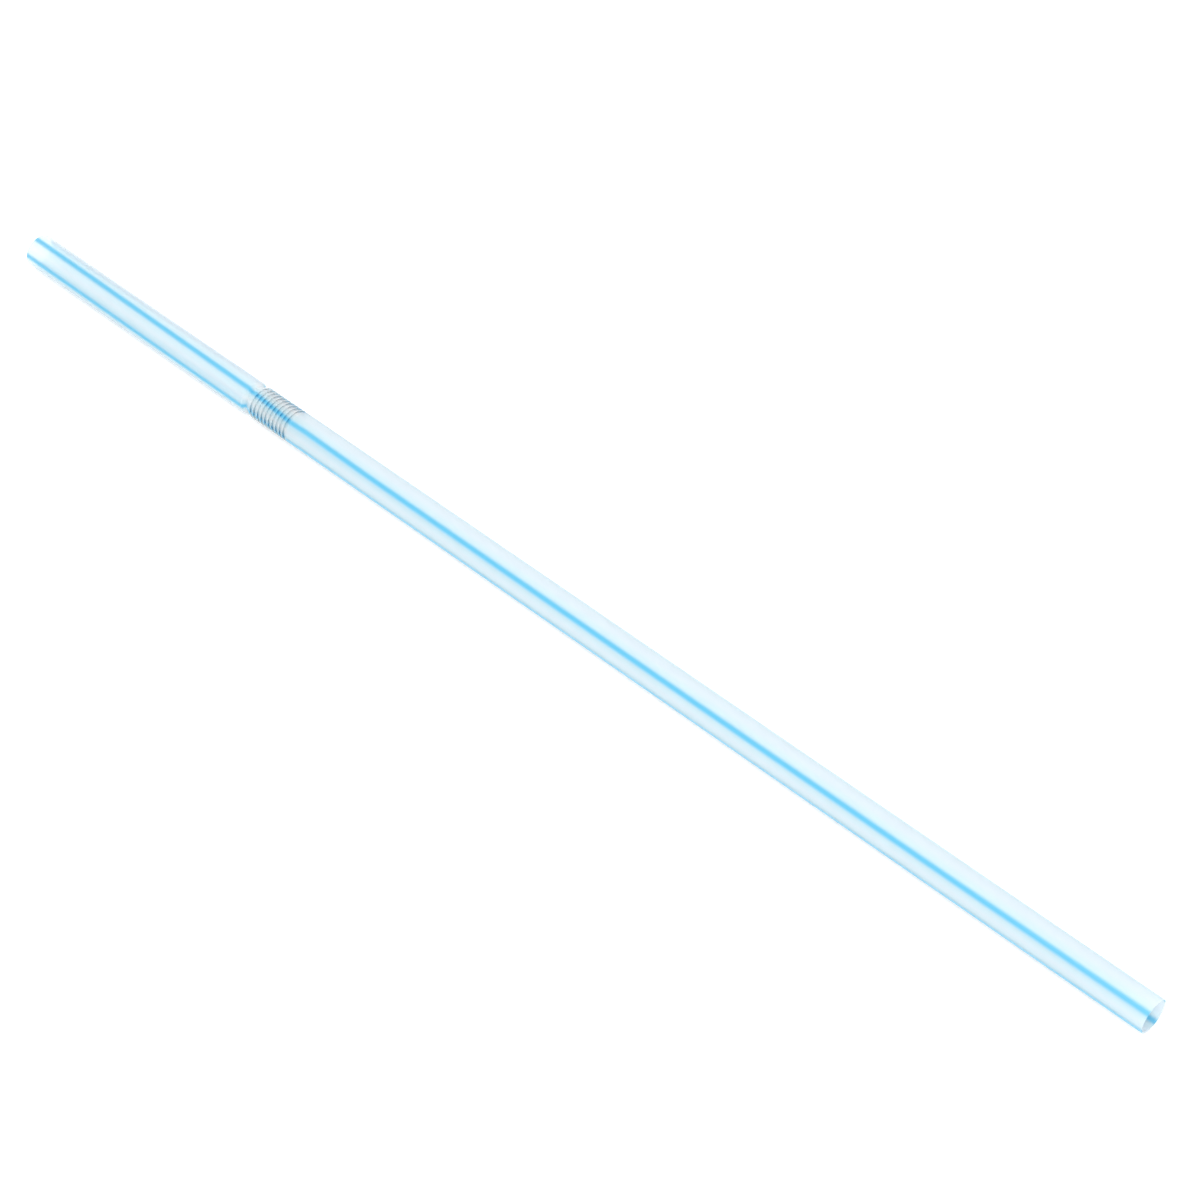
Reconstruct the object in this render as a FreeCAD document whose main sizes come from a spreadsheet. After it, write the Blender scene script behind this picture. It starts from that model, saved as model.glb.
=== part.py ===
"""Flexible plastic drinking straw, lying on its side, in millimetres.

One extruded tube. Its short mouth end is on the -X side and its long stem on the
+X side. Between them a row of pleats is pressed into the wall and pushed shut, so
that each lip lies over the root of the next pleat.
"""
import FreeCAD, Part
import os
import Sketcher

# The diameter, wall and lengths are those of the real straw.
# Pleat depth and pitch are measured on the middle of the wall. The seam's angle is the one,
# of those tried, from which the straw rolls least before it lies still.
SIZES = [
    ("outer_diameter", 5.9, "outside of the tube and of the pleat lips"),
    ("wall", 0.18, "thickness of the film, in the tube and in the pleats"),
    ("mouth_run", 54.0, "plain tube from the mouth end to the first fold"),
    ("stem_run", 175.43, "plain tube from the last pleat to the lower end"),
    ("pleat_count", 10, "lips that lie over the next pleat"),
    ("pleat_pitch", 0.87, "distance from one lip to the next with the pleats shut"),
    ("pleat_depth", 0.62, "radial drop from lip to root"),
    ("lip_overhang", 0.5, "how far each lip reaches past the root in front of it"),
    ("slot_margin", 0.5, "how far a cutting profile reaches beyond the wall"),
    ("seam_turn", 51, "angle in degrees, from the level up, at which the round faces begin and end"),
]

doc = FreeCAD.newDocument("drinking_straw")
sheet = doc.addObject("Spreadsheet::Sheet", "Sizes")
for row, (alias, value, note) in enumerate(SIZES, start=1):
    sheet.set(f"A{row}", note)
    sheet.set(f"B{row}", str(value))
    sheet.setAlias(f"B{row}", alias)
doc.recompute()

# Formulas of the sheet's sizes, used by the sketches.
OUTER = "Sizes.outer_diameter / 2"
INNER = "(Sizes.outer_diameter / 2 - Sizes.wall)"
LIP = "(Sizes.outer_diameter / 2 - Sizes.wall / 2)"
ROOT = "(Sizes.outer_diameter / 2 - Sizes.wall / 2 - Sizes.pleat_depth)"
BORE = "(Sizes.outer_diameter / 2 - Sizes.wall - Sizes.pleat_depth)"
# Run along the axis of the leg that rises to a lip, and of the one folded back under it.
LONG_LEG = "(Sizes.pleat_pitch + Sizes.lip_overhang)"
SHORT_LEG = "Sizes.lip_overhang"
# Middle of the film at the first and last root, the first lip and the start of the stem.
FIRST_ROOT = f"(Sizes.mouth_run + {SHORT_LEG})"
LAST_ROOT = f"({FIRST_ROOT} + Sizes.pleat_count * Sizes.pleat_pitch)"
FIRST_LIP = f"({FIRST_ROOT} + {LONG_LEG})"
STEM = f"({LAST_ROOT} + {LONG_LEG})"
LOWER_END = f"({STEM} + Sizes.stem_run)"
# Film of a leaning leg, measured along the axis instead of square to the leg.
LONG_FILM = f"(Sizes.wall * sqrt(1 + pow({LONG_LEG} / Sizes.pleat_depth; 2)))"
SHORT_FILM = f"(Sizes.wall * sqrt(1 + pow({SHORT_LEG} / Sizes.pleat_depth; 2)))"
# Height above the root, as a share of the pleat depth, at which two legs close on each other:
# between two pleats, and in the open first fold.
CLOSED = f"(({LONG_FILM} + {SHORT_FILM}) / (2 * Sizes.pleat_pitch))"
FIRST_CLOSED = f"(({LONG_FILM} + {SHORT_FILM}) / (2 * ({LONG_LEG} + {SHORT_LEG})))"
# Half the film, and a cutting profile's reach beyond it, as shares of the pleat depth.
HALF_FILM = "(Sizes.wall / 2 / Sizes.pleat_depth)"
REACH = "((Sizes.wall / 2 + Sizes.slot_margin) / Sizes.pleat_depth)"


def evaluate(formula):
    """Value of a formula of the sheet's sizes, as a plain number."""
    value = sheet.evalExpression(formula)
    return float(getattr(value, "Value", value))


def origin_feature(body, role):
    """Plane or axis of a body's own origin."""
    return next(item for item in body.Origin.OriginFeatures if item.Role == role)


def section_sketch(body, name, corners):
    """Closed outline in a plane through the axis, each corner at its formulas for x and radius."""
    sketch = body.newObject("Sketcher::SketchObject", name)
    sketch.AttachmentSupport = [(origin_feature(body, "XY_Plane"), "")]
    sketch.MapMode = "FlatFace"
    turn = FreeCAD.Rotation(FreeCAD.Vector(1, 0, 0), evaluate("Sizes.seam_turn"))
    sketch.AttachmentOffset = FreeCAD.Placement(FreeCAD.Vector(), turn)
    sketch.setExpression("AttachmentOffset.Rotation.Angle", "Sizes.seam_turn")
    points = [FreeCAD.Vector(evaluate(x), evaluate(radius), 0) for x, radius in corners]
    for start, end in zip(points, points[1:] + points[:1]):
        sketch.addGeometry(Part.LineSegment(start, end), False)
    count = len(points)
    for line in range(count):
        sketch.addConstraint(Sketcher.Constraint("Coincident", line, 2, (line + 1) % count, 1))
    for line, (x, radius) in enumerate(corners):
        for kind, formula in (("DistanceX", x), ("DistanceY", radius)):
            index = sketch.addConstraint(Sketcher.Constraint(kind, -1, 1, line, 1, evaluate(formula)))
            sketch.setExpression(f"Constraints[{index}]", formula)
    return sketch


def turned(body, kind, name, sketch):
    """Outline turned once round the axis, to add wall or to cut a slot."""
    feature = body.newObject(kind, name)
    feature.Profile = sketch
    feature.ReferenceAxis = (sketch, ["H_Axis"])
    feature.Angle = 360
    body.Tip = feature
    doc.recompute()
    return feature


def cut(body, name, corners):
    """Triangular slot cut round the wall. Fails if it takes nothing away."""
    before = body.Shape.Volume
    slot = turned(body, "PartDesign::Groove", name, section_sketch(body, f"{name}_section", corners))
    if not body.Shape.Volume < before:
        raise RuntimeError(f"{name} cuts nothing")
    return slot


def repeated(body, name, feature):
    """The slot again behind each lip, one pitch apart along the axis."""
    before = body.Shape.Volume
    pattern = body.newObject("PartDesign::LinearPattern", name)
    pattern.Originals = [feature]
    pattern.Direction = (origin_feature(body, "X_Axis"), [""])
    pattern.Mode = "Spacing"
    pattern.setExpression("Offset", "Sizes.pleat_pitch")
    pattern.setExpression("Occurrences", "Sizes.pleat_count")
    body.Tip = pattern
    doc.recompute()
    if not body.Shape.Volume < before:
        raise RuntimeError(f"{name} cuts nothing")
    return pattern


def make_straw():
    """Tube with a thicker band for the pleats, then the slots between them, outside and inside."""
    body = doc.addObject("PartDesign::Body", "straw")
    body.Label = "straw"

    # The band is as deep as the pleats. It starts along the first leg and ends along the last.
    wall = section_sketch(body, "wall_section", [
        ("0", OUTER), (LOWER_END, OUTER), (LOWER_END, INNER),
        (f"{STEM} - {LONG_LEG} * {HALF_FILM} + {LONG_FILM} / 2", INNER),
        (f"{LAST_ROOT} - {LONG_LEG} * {HALF_FILM} + {LONG_FILM} / 2", BORE),
        (f"{FIRST_ROOT} + {SHORT_LEG} * {HALF_FILM} - {SHORT_FILM} / 2", BORE),
        (f"Sizes.mouth_run + {SHORT_LEG} * {HALF_FILM} - {SHORT_FILM} / 2", INNER),
        ("0", INNER)])
    turned(body, "PartDesign::Revolution", "wall", wall)

    # First fold, where the film of the mouth end dips to the first root and rises again.
    outside = f"{OUTER} + Sizes.slot_margin"
    cut(body, "first_fold", [
        (f"{FIRST_ROOT} - {SHORT_LEG} * {FIRST_CLOSED} + {SHORT_FILM} / 2",
         f"{ROOT} + {FIRST_CLOSED} * Sizes.pleat_depth"),
        (f"{FIRST_LIP} + {LONG_LEG} * {REACH} - {LONG_FILM} / 2", outside),
        (f"Sizes.mouth_run - {SHORT_LEG} * {REACH} + {SHORT_FILM} / 2", outside)])

    # Slot behind each lip, narrowing towards the root to where the legs close.
    outer_slot = cut(body, "outer_slot", [
        (f"{FIRST_LIP} - {SHORT_LEG} * (1 - {CLOSED}) + {SHORT_FILM} / 2",
         f"{ROOT} + {CLOSED} * Sizes.pleat_depth"),
        (f"{FIRST_LIP} + Sizes.pleat_pitch + {LONG_LEG} * {REACH} - {LONG_FILM} / 2", outside),
        (f"{FIRST_LIP} + {SHORT_LEG} * {REACH} + {SHORT_FILM} / 2", outside)])
    repeated(body, "outer_slots", outer_slot)

    # Slot between two roots, open to the bore and narrowing towards the lip.
    inside = f"{BORE} - Sizes.slot_margin"
    inner_slot = cut(body, "inner_slot", [
        (f"{FIRST_ROOT} + {LONG_LEG} * (1 - {CLOSED}) + {LONG_FILM} / 2",
         f"{LIP} - {CLOSED} * Sizes.pleat_depth"),
        (f"{FIRST_ROOT} - {LONG_LEG} * {REACH} + {LONG_FILM} / 2", inside),
        (f"{FIRST_ROOT} + Sizes.pleat_pitch - {SHORT_LEG} * {REACH} - {SHORT_FILM} / 2", inside)])
    repeated(body, "inner_slots", inner_slot)

    # Lying on its side, the middle of its length at the origin.
    body.setExpression("Placement.Base.x", f"-{LOWER_END} / 2")
    body.setExpression("Placement.Base.z", OUTER)
    return body


straw = make_straw()
doc.recompute()
for item in doc.Objects:
    if "Invalid" in item.State or "Error" in item.State:
        raise RuntimeError(f"{item.Name} did not recompute: {item.State}")
if straw.Shape.isNull() or not straw.Shape.isValid() or len(straw.Shape.Solids) != 1:
    raise RuntimeError("the straw is not one valid solid")

os.makedirs("parts", exist_ok=True)
straw.Shape.exportStep(f"parts/{straw.Label}.step")
box = straw.Shape.BoundBox
print(f"straw {box.XLength:.2f} x {box.YLength:.2f} x {box.ZLength:.2f} mm, "
      f"{straw.Shape.Volume:.1f} mm3, {len(straw.Shape.Faces)} faces")
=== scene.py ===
"""Flexible plastic drinking straw: its looks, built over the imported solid.

The straw is one tube of thin hazy film with coloured stripes. Its wall is a section of
the film turned once round the axis, and the stripes are colour in the film.
"""
import math

import bmesh
import bpy
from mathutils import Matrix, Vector


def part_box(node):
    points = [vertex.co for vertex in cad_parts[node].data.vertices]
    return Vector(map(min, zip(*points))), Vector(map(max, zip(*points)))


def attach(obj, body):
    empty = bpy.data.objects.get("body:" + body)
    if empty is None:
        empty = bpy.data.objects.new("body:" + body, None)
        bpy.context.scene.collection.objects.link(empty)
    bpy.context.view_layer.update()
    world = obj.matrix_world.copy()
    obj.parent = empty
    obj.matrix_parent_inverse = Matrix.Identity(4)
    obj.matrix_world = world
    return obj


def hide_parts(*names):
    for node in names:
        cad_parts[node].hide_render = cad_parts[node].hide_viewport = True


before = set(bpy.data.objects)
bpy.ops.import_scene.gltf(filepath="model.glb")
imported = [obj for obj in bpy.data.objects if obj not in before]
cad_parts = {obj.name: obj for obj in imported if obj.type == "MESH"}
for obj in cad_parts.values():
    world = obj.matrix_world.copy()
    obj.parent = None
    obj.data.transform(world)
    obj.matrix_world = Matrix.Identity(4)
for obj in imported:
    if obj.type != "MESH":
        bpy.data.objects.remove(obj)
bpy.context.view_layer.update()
STRAW_LOW, STRAW_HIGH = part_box("straw")

bl_info = {
    "name": "Flexible drinking straw",
    "version": (1, 0, 0),
    "blender": (4, 5, 0),
    "location": "3D View > Sidebar > Straw",
    "description": "A pleated drinking straw of striped translucent film, on a white table",
    "category": "Add Mesh",
}

MM = 0.001


# ---------------------------------------------------------------- settings


class StrawSizes(bpy.types.PropertyGroup):
    """Sizes of the tube and its pleats."""

    outer_diameter: bpy.props.FloatProperty(
        name="Outer diameter", description="Outside of the tube and of the pleat lips",
        default=5.9 * MM, unit="LENGTH")
    wall: bpy.props.FloatProperty(
        name="Wall", description="Thickness of the film",
        default=0.18 * MM, unit="LENGTH")
    mouth_run: bpy.props.FloatProperty(
        name="Mouth run", description="Plain tube from the mouth end to the first fold",
        default=54.0 * MM, unit="LENGTH")
    pleat_count: bpy.props.IntProperty(
        name="Pleats", description="Lips that lie over the next pleat", default=10, min=1)
    pleat_pitch: bpy.props.FloatProperty(
        name="Pleat pitch", description="Distance from one lip to the next",
        default=0.87 * MM, unit="LENGTH")
    pleat_depth: bpy.props.FloatProperty(
        name="Pleat depth", description="Radial drop from lip to root, on the middle of the film",
        default=0.62 * MM, unit="LENGTH")
    lip_overhang: bpy.props.FloatProperty(
        name="Lip overhang", description="How far a lip reaches past the root in front of it",
        default=0.5 * MM, unit="LENGTH")
    fold_round: bpy.props.FloatProperty(
        name="Fold rounding", description="How far the film is rounded at lips and roots",
        default=0.1 * MM, unit="LENGTH")
    rim_round: bpy.props.FloatProperty(
        name="Rim rounding", description="Rounding of the cut rims at both ends",
        default=0.035 * MM, unit="LENGTH")
    facets: bpy.props.IntProperty(
        name="Facets", description="Faces round the tube", default=144, min=24)


class StrawFilm(bpy.types.PropertyGroup):
    """Colours and finish of the film."""

    film_color: bpy.props.FloatVectorProperty(
        name="Film", description="Colour of the light that the plain film scatters",
        subtype="COLOR", size=3, default=(0.84, 0.93, 0.99))
    # The folded film is whiter than the plain film. This is partly the whitening of film where it
    # is folded, and partly painted light that lifts the shade in the pleats' grooves.
    fold_color_with_painted_light: bpy.props.FloatVectorProperty(
        name="Folded film", description="Colour of the film of the pleats, whitened by folding",
        subtype="COLOR", size=3, default=(0.97, 0.99, 1.0))
    stripe_color: bpy.props.FloatVectorProperty(
        name="Stripe", description="Colour of the stripes' middle",
        subtype="COLOR", size=3, default=(0.13, 0.57, 0.84))
    halo_color: bpy.props.FloatVectorProperty(
        name="Stripe halo", description="Colour of the pale border beside a stripe",
        subtype="COLOR", size=3, default=(0.74, 0.935, 0.99))
    haze: bpy.props.FloatProperty(
        name="Haze", description="Roughness of the film's surface",
        default=0.42, min=0.0, max=1.0, subtype="FACTOR")
    film_cover: bpy.props.FloatProperty(
        name="Film cover", description="Share of light that a face of the plain film scatters",
        default=0.5, min=0.0, max=1.0, subtype="FACTOR")
    stripe_cover: bpy.props.FloatProperty(
        name="Stripe cover", description="Share of light that a face of a stripe scatters",
        default=0.8, min=0.0, max=1.0, subtype="FACTOR")


class StrawStudio(bpy.types.PropertyGroup):
    """Light and camera."""

    world_level: bpy.props.FloatProperty(
        name="World level", description="Strength of the soft light from all round", default=0.99)
    key_power: bpy.props.FloatProperty(
        name="Key lamp", description="Power of the large lamp above and in front",
        default=1.35, unit="POWER")
    lens: bpy.props.FloatProperty(
        name="Lens", description="Focal length of the camera, in millimetres", default=100.034)
    azimuth: bpy.props.FloatProperty(
        name="Azimuth", description="Direction the camera stands in, round the upright",
        default=math.radians(42.04466), subtype="ANGLE")
    elevation: bpy.props.FloatProperty(
        name="Elevation", description="Camera's height as an angle",
        default=math.radians(49.10162), subtype="ANGLE")
    distance: bpy.props.FloatProperty(
        name="Distance", description="From the camera to the point it looks at",
        default=532.488 * MM, unit="LENGTH")
    aim: bpy.props.FloatVectorProperty(
        name="Aim", description="Point that the camera looks at",
        default=(7.5559 * MM, 5.5636 * MM, 2.95 * MM), size=3, subtype="TRANSLATION")


# ---------------------------------------------------------------- shader maths


class Socket:
    """Output socket that does maths as Python expressions."""

    def __init__(self, nodes, out):
        self.nodes, self.out = nodes, out

    def output(self, name):
        """Another output of the same node, by its name or index."""
        return Socket(self.nodes, self.out.node.outputs[name])

    def math(self, operation, *others):
        """Math node that starts with this socket."""
        values = {index + 1: other for index, other in enumerate(others)}
        return self.nodes.add("ShaderNodeMath", {"operation": operation}, {0: self, **values})

    def reflected(self, operation, other):
        """Math node that ends with this socket."""
        return self.nodes.add("ShaderNodeMath", {"operation": operation}, {0: other, 1: self})

    def __add__(self, other):
        return self.math("ADD", other)

    def __sub__(self, other):
        return self.math("SUBTRACT", other)

    def __mul__(self, other):
        return self.math("MULTIPLY", other)

    def __radd__(self, other):
        return self.reflected("ADD", other)

    def __rsub__(self, other):
        return self.reflected("SUBTRACT", other)

    def __rmul__(self, other):
        return self.reflected("MULTIPLY", other)


class Nodes:
    """Node tree of one material or world, emptied and ready to be filled."""

    def __init__(self, owner):
        owner.use_nodes = True
        self.tree = owner.node_tree
        self.tree.nodes.clear()

    def add(self, kind, settings=None, values=None, output=0):
        """Node of a type: its settings first, then its sockets' values or links.

        Gives one of its outputs, if it has any.
        """
        node = self.tree.nodes.new(kind)
        for name, value in (settings or {}).items():
            setattr(node, name, value)
        for name, value in (values or {}).items():
            if isinstance(value, Socket):
                self.tree.links.new(value.out, node.inputs[name])
            else:
                node.inputs[name].default_value = value
        return Socket(self, node.outputs[output]) if len(node.outputs) else None

    def step(self, value, start, end):
        """0 before start and 1 after end, smooth between them."""
        return self.add("ShaderNodeMapRange", {"interpolation_type": "SMOOTHSTEP"},
                        {"Value": value, "From Min": start, "From Max": end})

    def ramp(self, value, start, end, low, high):
        """Runs straight from low to high while value runs from start to end."""
        return self.add("ShaderNodeMapRange", None,
                        {"Value": value, "From Min": start, "From Max": end,
                         "To Min": low, "To Max": high})

    def course(self, value, stops):
        """Runs straight from stop to stop, each a value and what it gives."""
        total = stops[0][1]
        for (start, low), (end, high) in zip(stops, stops[1:]):
            total = self.ramp(value, start, end, 0, high - low) + total
        return total

    def mix(self, factor, first, second):
        """Colour between two colours. The node's colour sockets go by number."""
        first, second = (color if isinstance(color, Socket) else (*color, 1.0)
                         for color in (first, second))
        return self.add("ShaderNodeMix", {"data_type": "RGBA"},
                        {0: factor, 6: first, 7: second}, output=2)


# ---------------------------------------------------------------- straw

# Edges of the section that turn less than this are shaded as smooth.
CREASE = math.radians(32)
# Most that a rounding may take of the shortest edge beside it.
ROUNDING_SHARE = 0.49

# Course of the first stripe: place along the tube, and angle round it from the top towards -Y.
STRIPE_COURSE = (
    (-120.0 * MM, 5.0), (-66.0 * MM, 15.5), (-55.4 * MM, 31.0), (-52.0 * MM, 29.5),
    (-38.0 * MM, 33.0), (4.0 * MM, 35.5), (45.0 * MM, 37.2), (85.0 * MM, 36.7),
    (120.0 * MM, 34.0))
# Angles of the four stripes from the first one.
STRIPE_OFFSETS = (0, 70, 168, 264)
# Angles from a stripe's middle between which its colour fades, and its halo fades.
STRIPE_FADE = (2.0, 17.0)
HALO_FADE = (11.9, 40.8)
FULL_TURN = 360.0

# Streaks of the extrusion: how many to a metre round the tube, the share of that along it,
# and how high they stand.
STREAK_COUNT = 2200.0
STREAK_STRETCH = 0.03
STREAK_HEIGHT = 0.02 * MM
# Range of the streaks' noise over which the haze changes, and how far it changes.
STREAK_RANGE = (0.3, 0.7)
HAZE_SPREAD = 0.07


def film_section(sizes):
    """Corners of the film's section, as x from the mouth end, radius and a rounding.

    They run along the outside from the mouth end to the lower end, and back along the bore.
    """
    length = STRAW_HIGH.x - STRAW_LOW.x
    outer = sizes.outer_diameter / 2
    inner = outer - sizes.wall
    lip = outer - sizes.wall / 2
    root = lip - sizes.pleat_depth
    bore = root - sizes.wall / 2
    long_leg = sizes.pleat_pitch + sizes.lip_overhang
    short_leg = sizes.lip_overhang
    depth = sizes.pleat_depth
    # Half the film of a leaning leg, measured along the axis.
    long_film = sizes.wall / 2 * math.hypot(1, long_leg / depth)
    short_film = sizes.wall / 2 * math.hypot(1, short_leg / depth)
    first_root = sizes.mouth_run + short_leg

    def rising(pleat, radius, side):
        """x on the leg that rises from a root, at a radius, on its left or right face."""
        return (first_root + pleat * sizes.pleat_pitch
                + long_leg * (radius - root) / depth + side * long_film)

    def falling(radius, side):
        """x on the mouth end's leg, that falls to the first root, on its left or right face."""
        return first_root - short_leg * (radius - root) / depth + side * short_film

    def folded(pleat, radius, side):
        """x on the leg folded back from a lip to a root, on its left or right face."""
        return (first_root + pleat * sizes.pleat_pitch
                + short_leg * (radius - root) / depth + side * short_film)

    def closed(spread):
        """Height between a fold and where its two legs, a spread apart, close on each other."""
        return (long_film + short_film) / spread * depth

    fold, rim = sizes.fold_round, sizes.rim_round
    last = sizes.pleat_count
    corners = [(0, outer, rim), (falling(outer, 1), outer, fold)]
    level = root + closed(long_leg + short_leg)
    corners.append((falling(level, 1), level, 0))
    level = root + closed(sizes.pleat_pitch)
    for pleat in range(last):
        corners.append((rising(pleat, outer, -1), outer, fold))
        corners.append((folded(pleat + 1, outer, 1), outer, fold))
        corners.append((folded(pleat + 1, level, 1), level, 0))
    corners.append((rising(last, outer, -1), outer, fold))
    corners += [(length, outer, rim), (length, inner, rim)]
    corners.append((rising(last, inner, 1), inner, fold))
    corners.append((rising(last, bore, 1), bore, fold))
    level = lip - closed(sizes.pleat_pitch)
    for pleat in reversed(range(last)):
        corners.append((folded(pleat + 1, bore, -1), bore, fold))
        corners.append((rising(pleat, level, 1), level, 0))
        corners.append((rising(pleat, bore, 1), bore, fold))
    corners += [(falling(bore, -1), bore, fold), (falling(inner, -1), inner, fold)]
    corners.append((0, inner, rim))
    return corners


def round_corners(bm, marked):
    """Rounds corners of the section, each by its own length along the two edges beside it."""
    for length in sorted({length for _, length in marked if length > 0}):
        verts = [vert for vert, own in marked if own == length]
        bmesh.ops.bevel(bm, geom=verts, offset=length, offset_type="OFFSET", segments=4,
                        profile=0.5, affect="VERTICES", material=-1)


def straw_mesh(sizes):
    """Wall of the straw: the film's section turned once round the axis."""
    bm = bmesh.new()
    start = STRAW_LOW.x
    axis_height = sizes.outer_diameter / 2
    corners = film_section(sizes)
    verts = [bm.verts.new((start + x, 0, axis_height + radius)) for x, radius, _ in corners]
    for first, second in zip(verts, verts[1:] + verts[:1]):
        bm.edges.new((first, second))
    marked = []
    for vert, (_, _, rounding) in zip(verts, corners):
        shortest = min(edge.calc_length() for edge in vert.link_edges)
        marked.append((vert, round(min(rounding, ROUNDING_SHARE * shortest), 7)))
    round_corners(bm, marked)
    bmesh.ops.spin(bm, geom=bm.verts[:] + bm.edges[:], cent=(0, 0, axis_height), axis=(1, 0, 0),
                   angle=2 * math.pi, steps=sizes.facets, use_merge=True)
    bmesh.ops.remove_doubles(bm, verts=bm.verts[:], dist=1e-7)
    bmesh.ops.recalc_face_normals(bm, faces=bm.faces[:])
    if any(len(edge.link_faces) != 2 for edge in bm.edges):
        raise RuntimeError("the straw's wall is not closed")
    for face in bm.faces:
        face.smooth = True
    for edge in bm.edges:
        edge.smooth = edge.calc_face_angle(0) < CREASE
    mesh = bpy.data.meshes.new("striped_straw")
    bm.to_mesh(mesh)
    bm.free()
    return mesh


def film_material(film, sizes):
    """Hazy translucent film with soft-edged stripes that turn slowly along the tube."""
    material = bpy.data.materials.new("striped_film")
    nodes = Nodes(material)
    place = nodes.add("ShaderNodeTexCoord", output="Object")
    centred = nodes.add("ShaderNodeMapping", {"vector_type": "POINT"},
                        {"Vector": place, "Location": (0, 0, -sizes.outer_diameter / 2)})
    along = nodes.add("ShaderNodeSeparateXYZ", None, {0: centred})
    across, up = along.output("Y"), along.output("Z")
    # Angle round the axis in degrees, from the top towards -Y.
    angle = (0 - across).math("ARCTAN2", up) * math.degrees(1)

    pleats_start = STRAW_LOW.x + sizes.mouth_run
    pleats_end = (pleats_start + 2 * sizes.lip_overhang
                  + (sizes.pleat_count + 1) * sizes.pleat_pitch)
    # The stripes turn a little along the tube, and fast across the pleats.
    turned = angle - nodes.course(along, STRIPE_COURSE)

    stripe, halo = None, None
    for offset in STRIPE_OFFSETS:
        # From the stripe's middle, up to half a turn either way.
        away = (turned - offset + 1.5 * FULL_TURN).math("MODULO", FULL_TURN) - FULL_TURN / 2
        distance = away.math("ABSOLUTE")
        core = 1 - nodes.step(distance, *STRIPE_FADE)
        border = 1 - nodes.step(distance, *HALO_FADE)
        stripe = core if stripe is None else stripe.math("MAXIMUM", core)
        halo = border if halo is None else halo.math("MAXIMUM", border)
    # 1 over the pleats, fading over one pitch at both ends.
    blend = sizes.pleat_pitch / 2
    neck = (nodes.step(along, pleats_start - blend, pleats_start + blend)
            * (1 - nodes.step(along, pleats_end - blend, pleats_end + blend)))
    # Over the pleats the film turns whiter: partly its whitening by folding, partly painted light
    # lifting the shade in the grooves.
    color = nodes.mix(neck, film.film_color, film.fold_color_with_painted_light)
    color = nodes.mix(halo, color, film.halo_color)
    color = nodes.mix(stripe, color, film.stripe_color)

    # The film scatters part of the light and lets the rest straight through.
    cover = nodes.ramp(stripe, 0, 1, film.film_cover, film.stripe_cover)
    # Faint streaks of the extrusion run along the tube.
    stretched = nodes.add("ShaderNodeMapping", {"vector_type": "POINT"},
                          {"Vector": place, "Scale": (STREAK_STRETCH, 1.0, 1.0)})
    streaks = nodes.add("ShaderNodeTexNoise", None, {
        "Vector": stretched, "Scale": STREAK_COUNT, "Detail": 2.0, "Roughness": 0.55})
    roughness = nodes.ramp(streaks, *STREAK_RANGE,
                           film.haze - HAZE_SPREAD, film.haze + HAZE_SPREAD)
    bump = nodes.add("ShaderNodeBump", None,
                     {"Strength": 0.25, "Distance": STREAK_HEIGHT, "Height": streaks})
    shader = nodes.add("ShaderNodeBsdfPrincipled", None, {
        "Base Color": color, "Roughness": roughness, "Normal": bump, "Alpha": cover,
        "IOR": 1.49, "Coat Weight": 0.25, "Coat Roughness": 0.12})
    nodes.add("ShaderNodeOutputMaterial", None, {"Surface": shader})
    return material


class STRAW_OT_film(bpy.types.Operator):
    """Build the straw's tube of striped film"""

    bl_idname = "straw.film"
    bl_label = "Straw"

    def execute(self, context):
        sizes, film = context.scene.straw_sizes, context.scene.straw_film
        straw = bpy.data.objects.new("striped_straw", straw_mesh(sizes))
        context.scene.collection.objects.link(straw)
        straw.data.materials.append(film_material(film, sizes))
        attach(straw, "root")
        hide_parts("straw")
        return {"FINISHED"}


# ---------------------------------------------------------------- stage

WHITE = (1.0, 1.0, 1.0, 1.0)
TABLE_COLOR = (0.95, 0.95, 0.95, 1.0)
# Light that the table adds where it is looked at, so that it reads as white.
TABLE_GLOW = 0.2
# From the table's middle to its edges.
TABLE_REACH = 3.0
KEY_WIDTH = 0.5
KEY_PLACE = Vector((0.15, -0.25, 0.6))


def table_mesh():
    """Wide flat table under the straw."""
    bm = bmesh.new()
    bmesh.ops.create_grid(bm, x_segments=1, y_segments=1, size=TABLE_REACH)
    mesh = bpy.data.meshes.new("table")
    bm.to_mesh(mesh)
    bm.free()
    return mesh


def white_seen(nodes):
    """1 for rays that look: from the camera, off gloss, or through the film."""
    camera_ray = nodes.add("ShaderNodeLightPath")
    seen = camera_ray
    for name in ("Is Glossy Ray", "Is Transmission Ray"):
        seen = seen.math("MAXIMUM", camera_ray.output(name))
    return seen


def table_material():
    """White table. It keeps its shadow, and reads as white."""
    material = bpy.data.materials.new("white_table")
    nodes = Nodes(material)
    matt = nodes.add("ShaderNodeBsdfDiffuse", None, {"Color": TABLE_COLOR})
    glow = nodes.add("ShaderNodeEmission", None,
                     {"Color": WHITE, "Strength": white_seen(nodes) * TABLE_GLOW})
    both = nodes.add("ShaderNodeAddShader", None, {0: matt, 1: glow})
    nodes.add("ShaderNodeOutputMaterial", None, {"Surface": both})
    return material


def studio_world(level):
    """Even soft light, seen as white."""
    world = bpy.data.worlds.new("studio")
    nodes = Nodes(world)
    seen = white_seen(nodes)
    glow = nodes.add("ShaderNodeBackground", None,
                     {"Color": WHITE, "Strength": seen + (1 - seen) * level})
    nodes.add("ShaderNodeOutputWorld", None, {"Surface": glow})
    return world


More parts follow.
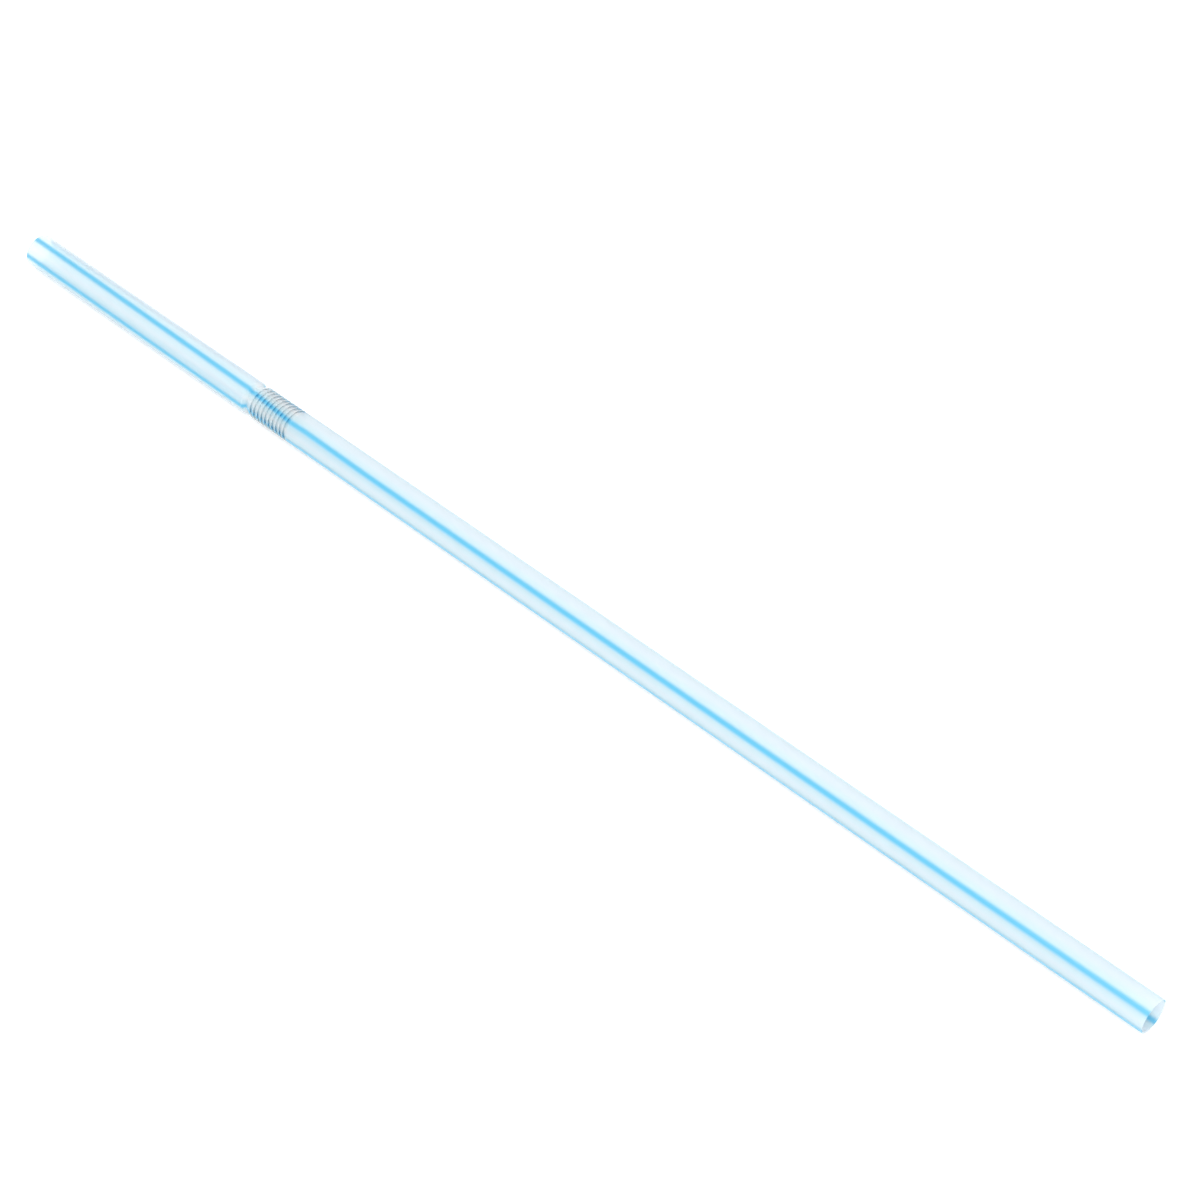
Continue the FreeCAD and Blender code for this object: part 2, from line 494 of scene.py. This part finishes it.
class STRAW_OT_stage(bpy.types.Operator):
    """Build the table, lights and camera"""

    bl_idname = "straw.stage"
    bl_label = "Stage"

    def execute(self, context):
        scene, studio = context.scene, context.scene.straw_studio
        table = bpy.data.objects.new("table", table_mesh())
        table.data.materials.append(table_material())
        scene.collection.objects.link(table)
        scene.world = studio_world(studio.world_level)

        lamp = bpy.data.lights.new("key", "AREA")
        lamp.shape, lamp.size, lamp.energy = "DISK", KEY_WIDTH, studio.key_power
        key = bpy.data.objects.new("key", lamp)
        key.location = KEY_PLACE
        key.rotation_mode = "QUATERNION"
        key.rotation_quaternion = (-KEY_PLACE).to_track_quat("-Z", "Y")
        scene.collection.objects.link(key)

        camera = bpy.data.objects.new("camera", bpy.data.cameras.new("camera"))
        camera.data.lens, camera.data.sensor_width = studio.lens, 36.0
        camera.data.clip_start, camera.data.clip_end = 0.01, 20.0
        flat = math.cos(studio.elevation)
        back = Vector((math.sin(studio.azimuth) * flat, -math.cos(studio.azimuth) * flat,
                       math.sin(studio.elevation)))
        camera.location = Vector(studio.aim) + back * studio.distance
        camera.rotation_mode = "QUATERNION"
        camera.rotation_quaternion = (-back).to_track_quat("-Z", "Y")
        scene.collection.objects.link(camera)
        scene.camera = camera
        scene.view_settings.view_transform = "Standard"
        return {"FINISHED"}


# ---------------------------------------------------------------- panel


class STRAW_PT_panel(bpy.types.Panel):
    """Sizes, colours and build steps of the straw"""

    bl_idname = "STRAW_PT_panel"
    bl_label = "Drinking straw"
    bl_space_type = "VIEW_3D"
    bl_region_type = "UI"
    bl_category = "Straw"

    def draw(self, context):
        for operator, groups in PARTS:
            box = self.layout.box()
            for group in groups:
                for name in group.__annotations__:
                    box.prop(getattr(context.scene, GROUPS[group]), name)
            box.operator(operator.bl_idname)


GROUPS = {StrawSizes: "straw_sizes", StrawFilm: "straw_film", StrawStudio: "straw_studio"}
PARTS = ((STRAW_OT_film, (StrawSizes, StrawFilm)), (STRAW_OT_stage, (StrawStudio,)))
CLASSES = (*GROUPS, STRAW_OT_film, STRAW_OT_stage, STRAW_PT_panel)


def register():
    for cls in CLASSES:
        bpy.utils.register_class(cls)
    for group, name in GROUPS.items():
        setattr(bpy.types.Scene, name, bpy.props.PointerProperty(type=group))


def unregister():
    for name in GROUPS.values():
        delattr(bpy.types.Scene, name)
    for cls in reversed(CLASSES):
        bpy.utils.unregister_class(cls)


def main():
    register()
    bpy.ops.straw.film()
    bpy.ops.straw.stage()


if __name__ == "__main__":
    main()
